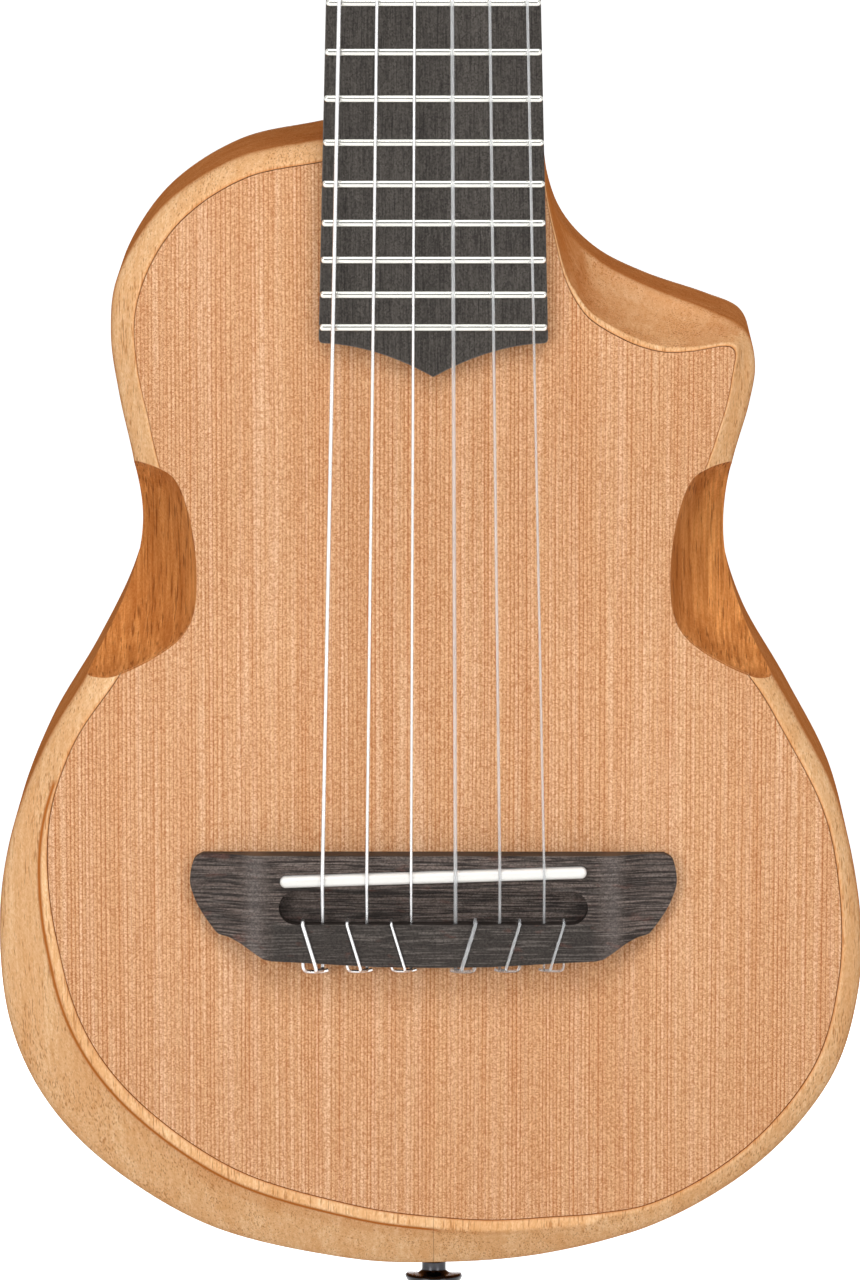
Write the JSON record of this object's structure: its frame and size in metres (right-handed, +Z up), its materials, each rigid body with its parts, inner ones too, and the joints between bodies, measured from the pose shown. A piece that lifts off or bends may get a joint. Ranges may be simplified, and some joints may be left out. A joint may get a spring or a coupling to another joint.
{
  "type": "guitalele",
  "caption": "Small nylon-string guitar with a carved thick rim, flush cedar top, cutaway, waist scoops, a pointed dark fretboard, a low carved bridge and a slotted head with geared tuners.",
  "frame": {"origin": "centre of the strap button's end face, on the body's centre line at half the body's depth", "axes": "+Z up the neck towards the head, +X to the treble side, -Y out of the top towards the player's hand"},
  "size_m": [0.2281, 0.0825, 0.6994],
  "materials": {
    "cedar_top": "thin satin varnish",
    "golden_hardwood": "thin satin varnish",
    "reddish_hardwood": "thin satin varnish",
    "dark_hardwood": "oiled",
    "spruce": "bare",
    "bone_white": "polished bone",
    "nickel_silver": "polished nickel silver",
    "silver_wound": "silvered winding over nylon",
    "clear_nylon": "clear nylon",
    "nickel_plate": "nickel plated",
    "brass_wheel": "turned brass",
    "pearl_plastic": "polished",
    "black_nickel": "glossy black nickel"
  },
  "bodies": {
    "instrument": {"body_side_bass": "golden_hardwood", "body_side_treble": "golden_hardwood", "back_plate": "reddish_hardwood", "soundboard": "cedar_top", "upper_brace": "spruce", "lower_brace": "spruce", "bridge_plate": "spruce", "neck": "reddish_hardwood", "fretboard": "dark_hardwood", "fret_01": "nickel_silver", "fret_02": "nickel_silver", "fret_03": "nickel_silver", "fret_04": "nickel_silver", "fret_05": "nickel_silver", "fret_06": "nickel_silver", "fret_07": "nickel_silver", "fret_08": "nickel_silver", "fret_09": "nickel_silver", "fret_10": "nickel_silver", "fret_11": "nickel_silver", "fret_12": "nickel_silver", "fret_13": "nickel_silver", "fret_14": "nickel_silver", "fret_15": "nickel_silver", "fret_16": "nickel_silver", "fret_17": "nickel_silver", "fret_18": "nickel_silver", "fret_19": "nickel_silver", "nut": "bone_white", "bridge": "dark_hardwood", "saddle": "bone_white", "string_e6": "silver_wound", "string_a5": "silver_wound", "string_d4": "silver_wound", "string_g3": "clear_nylon", "string_b2": "clear_nylon", "string_e1": "clear_nylon", "tuner_plate_bass": "nickel_plate", "tuner_plate_treble": "nickel_plate", "strap_button": "black_nickel", "strap_button_screw": "black_nickel"},
    "knob_e6": {"tuner_worm_e6": "nickel_plate", "tuner_knob_e6": "pearl_plastic"},
    "knob_a5": {"tuner_worm_a5": "nickel_plate", "tuner_knob_a5": "pearl_plastic"},
    "knob_d4": {"tuner_worm_d4": "nickel_plate", "tuner_knob_d4": "pearl_plastic"},
    "knob_g3": {"tuner_worm_g3": "nickel_plate", "tuner_knob_g3": "pearl_plastic"},
    "knob_b2": {"tuner_worm_b2": "nickel_plate", "tuner_knob_b2": "pearl_plastic"},
    "knob_e1": {"tuner_worm_e1": "nickel_plate", "tuner_knob_e1": "pearl_plastic"},
    "roller_e6": {"tuner_roller_e6": "brass_wheel"},
    "roller_a5": {"tuner_roller_a5": "brass_wheel"},
    "roller_d4": {"tuner_roller_d4": "brass_wheel"},
    "roller_g3": {"tuner_roller_g3": "brass_wheel"},
    "roller_b2": {"tuner_roller_b2": "brass_wheel"},
    "roller_e1": {"tuner_roller_e1": "brass_wheel"}
  },
  "joints": [
    {"name": "knob_e6_turn", "type": "hinge", "parent": "instrument", "child": "knob_e6", "pos_m": [-0.036, -0.01949, 0.58289], "axis": [0, 0.9781, -0.2079], "continuous": true},
    {"name": "knob_a5_turn", "type": "hinge", "parent": "instrument", "child": "knob_a5", "pos_m": [-0.036, -0.01221, 0.61713], "axis": [0, 0.9781, -0.2079], "continuous": true},
    {"name": "knob_d4_turn", "type": "hinge", "parent": "instrument", "child": "knob_d4", "pos_m": [-0.036, -0.00494, 0.65136], "axis": [0, 0.9781, -0.2079], "continuous": true},
    {"name": "knob_g3_turn", "type": "hinge", "parent": "instrument", "child": "knob_g3", "pos_m": [0.036, -0.00494, 0.65136], "axis": [0, 0.9781, -0.2079], "continuous": true},
    {"name": "knob_b2_turn", "type": "hinge", "parent": "instrument", "child": "knob_b2", "pos_m": [0.036, -0.01221, 0.61713], "axis": [0, 0.9781, -0.2079], "continuous": true},
    {"name": "knob_e1_turn", "type": "hinge", "parent": "instrument", "child": "knob_e1", "pos_m": [0.036, -0.01949, 0.58289], "axis": [0, 0.9781, -0.2079], "continuous": true},
    {"name": "roller_e6_turn", "type": "hinge", "parent": "instrument", "child": "roller_e6", "pos_m": [0, -0.01781, 0.59081], "axis": [1, 0, 0], "continuous": true},
    {"name": "roller_a5_turn", "type": "hinge", "parent": "instrument", "child": "roller_a5", "pos_m": [0, -0.01053, 0.62505], "axis": [1, 0, 0], "continuous": true},
    {"name": "roller_d4_turn", "type": "hinge", "parent": "instrument", "child": "roller_d4", "pos_m": [0, -0.00325, 0.65929], "axis": [1, 0, 0], "continuous": true},
    {"name": "roller_g3_turn", "type": "hinge", "parent": "instrument", "child": "roller_g3", "pos_m": [0, -0.00325, 0.65929], "axis": [1, 0, 0], "continuous": true},
    {"name": "roller_b2_turn", "type": "hinge", "parent": "instrument", "child": "roller_b2", "pos_m": [0, -0.01053, 0.62505], "axis": [1, 0, 0], "continuous": true},
    {"name": "roller_e1_turn", "type": "hinge", "parent": "instrument", "child": "roller_e1", "pos_m": [0, -0.01781, 0.59081], "axis": [1, 0, 0], "continuous": true}
  ],
  "couplings": [
    {"joint": "roller_e6_turn", "follows": "knob_e6_turn", "ratio": -0.071429},
    {"joint": "roller_a5_turn", "follows": "knob_a5_turn", "ratio": -0.071429},
    {"joint": "roller_d4_turn", "follows": "knob_d4_turn", "ratio": -0.071429},
    {"joint": "roller_g3_turn", "follows": "knob_g3_turn", "ratio": -0.071429},
    {"joint": "roller_b2_turn", "follows": "knob_b2_turn", "ratio": -0.071429},
    {"joint": "roller_e1_turn", "follows": "knob_e1_turn", "ratio": -0.071429}
  ]
}
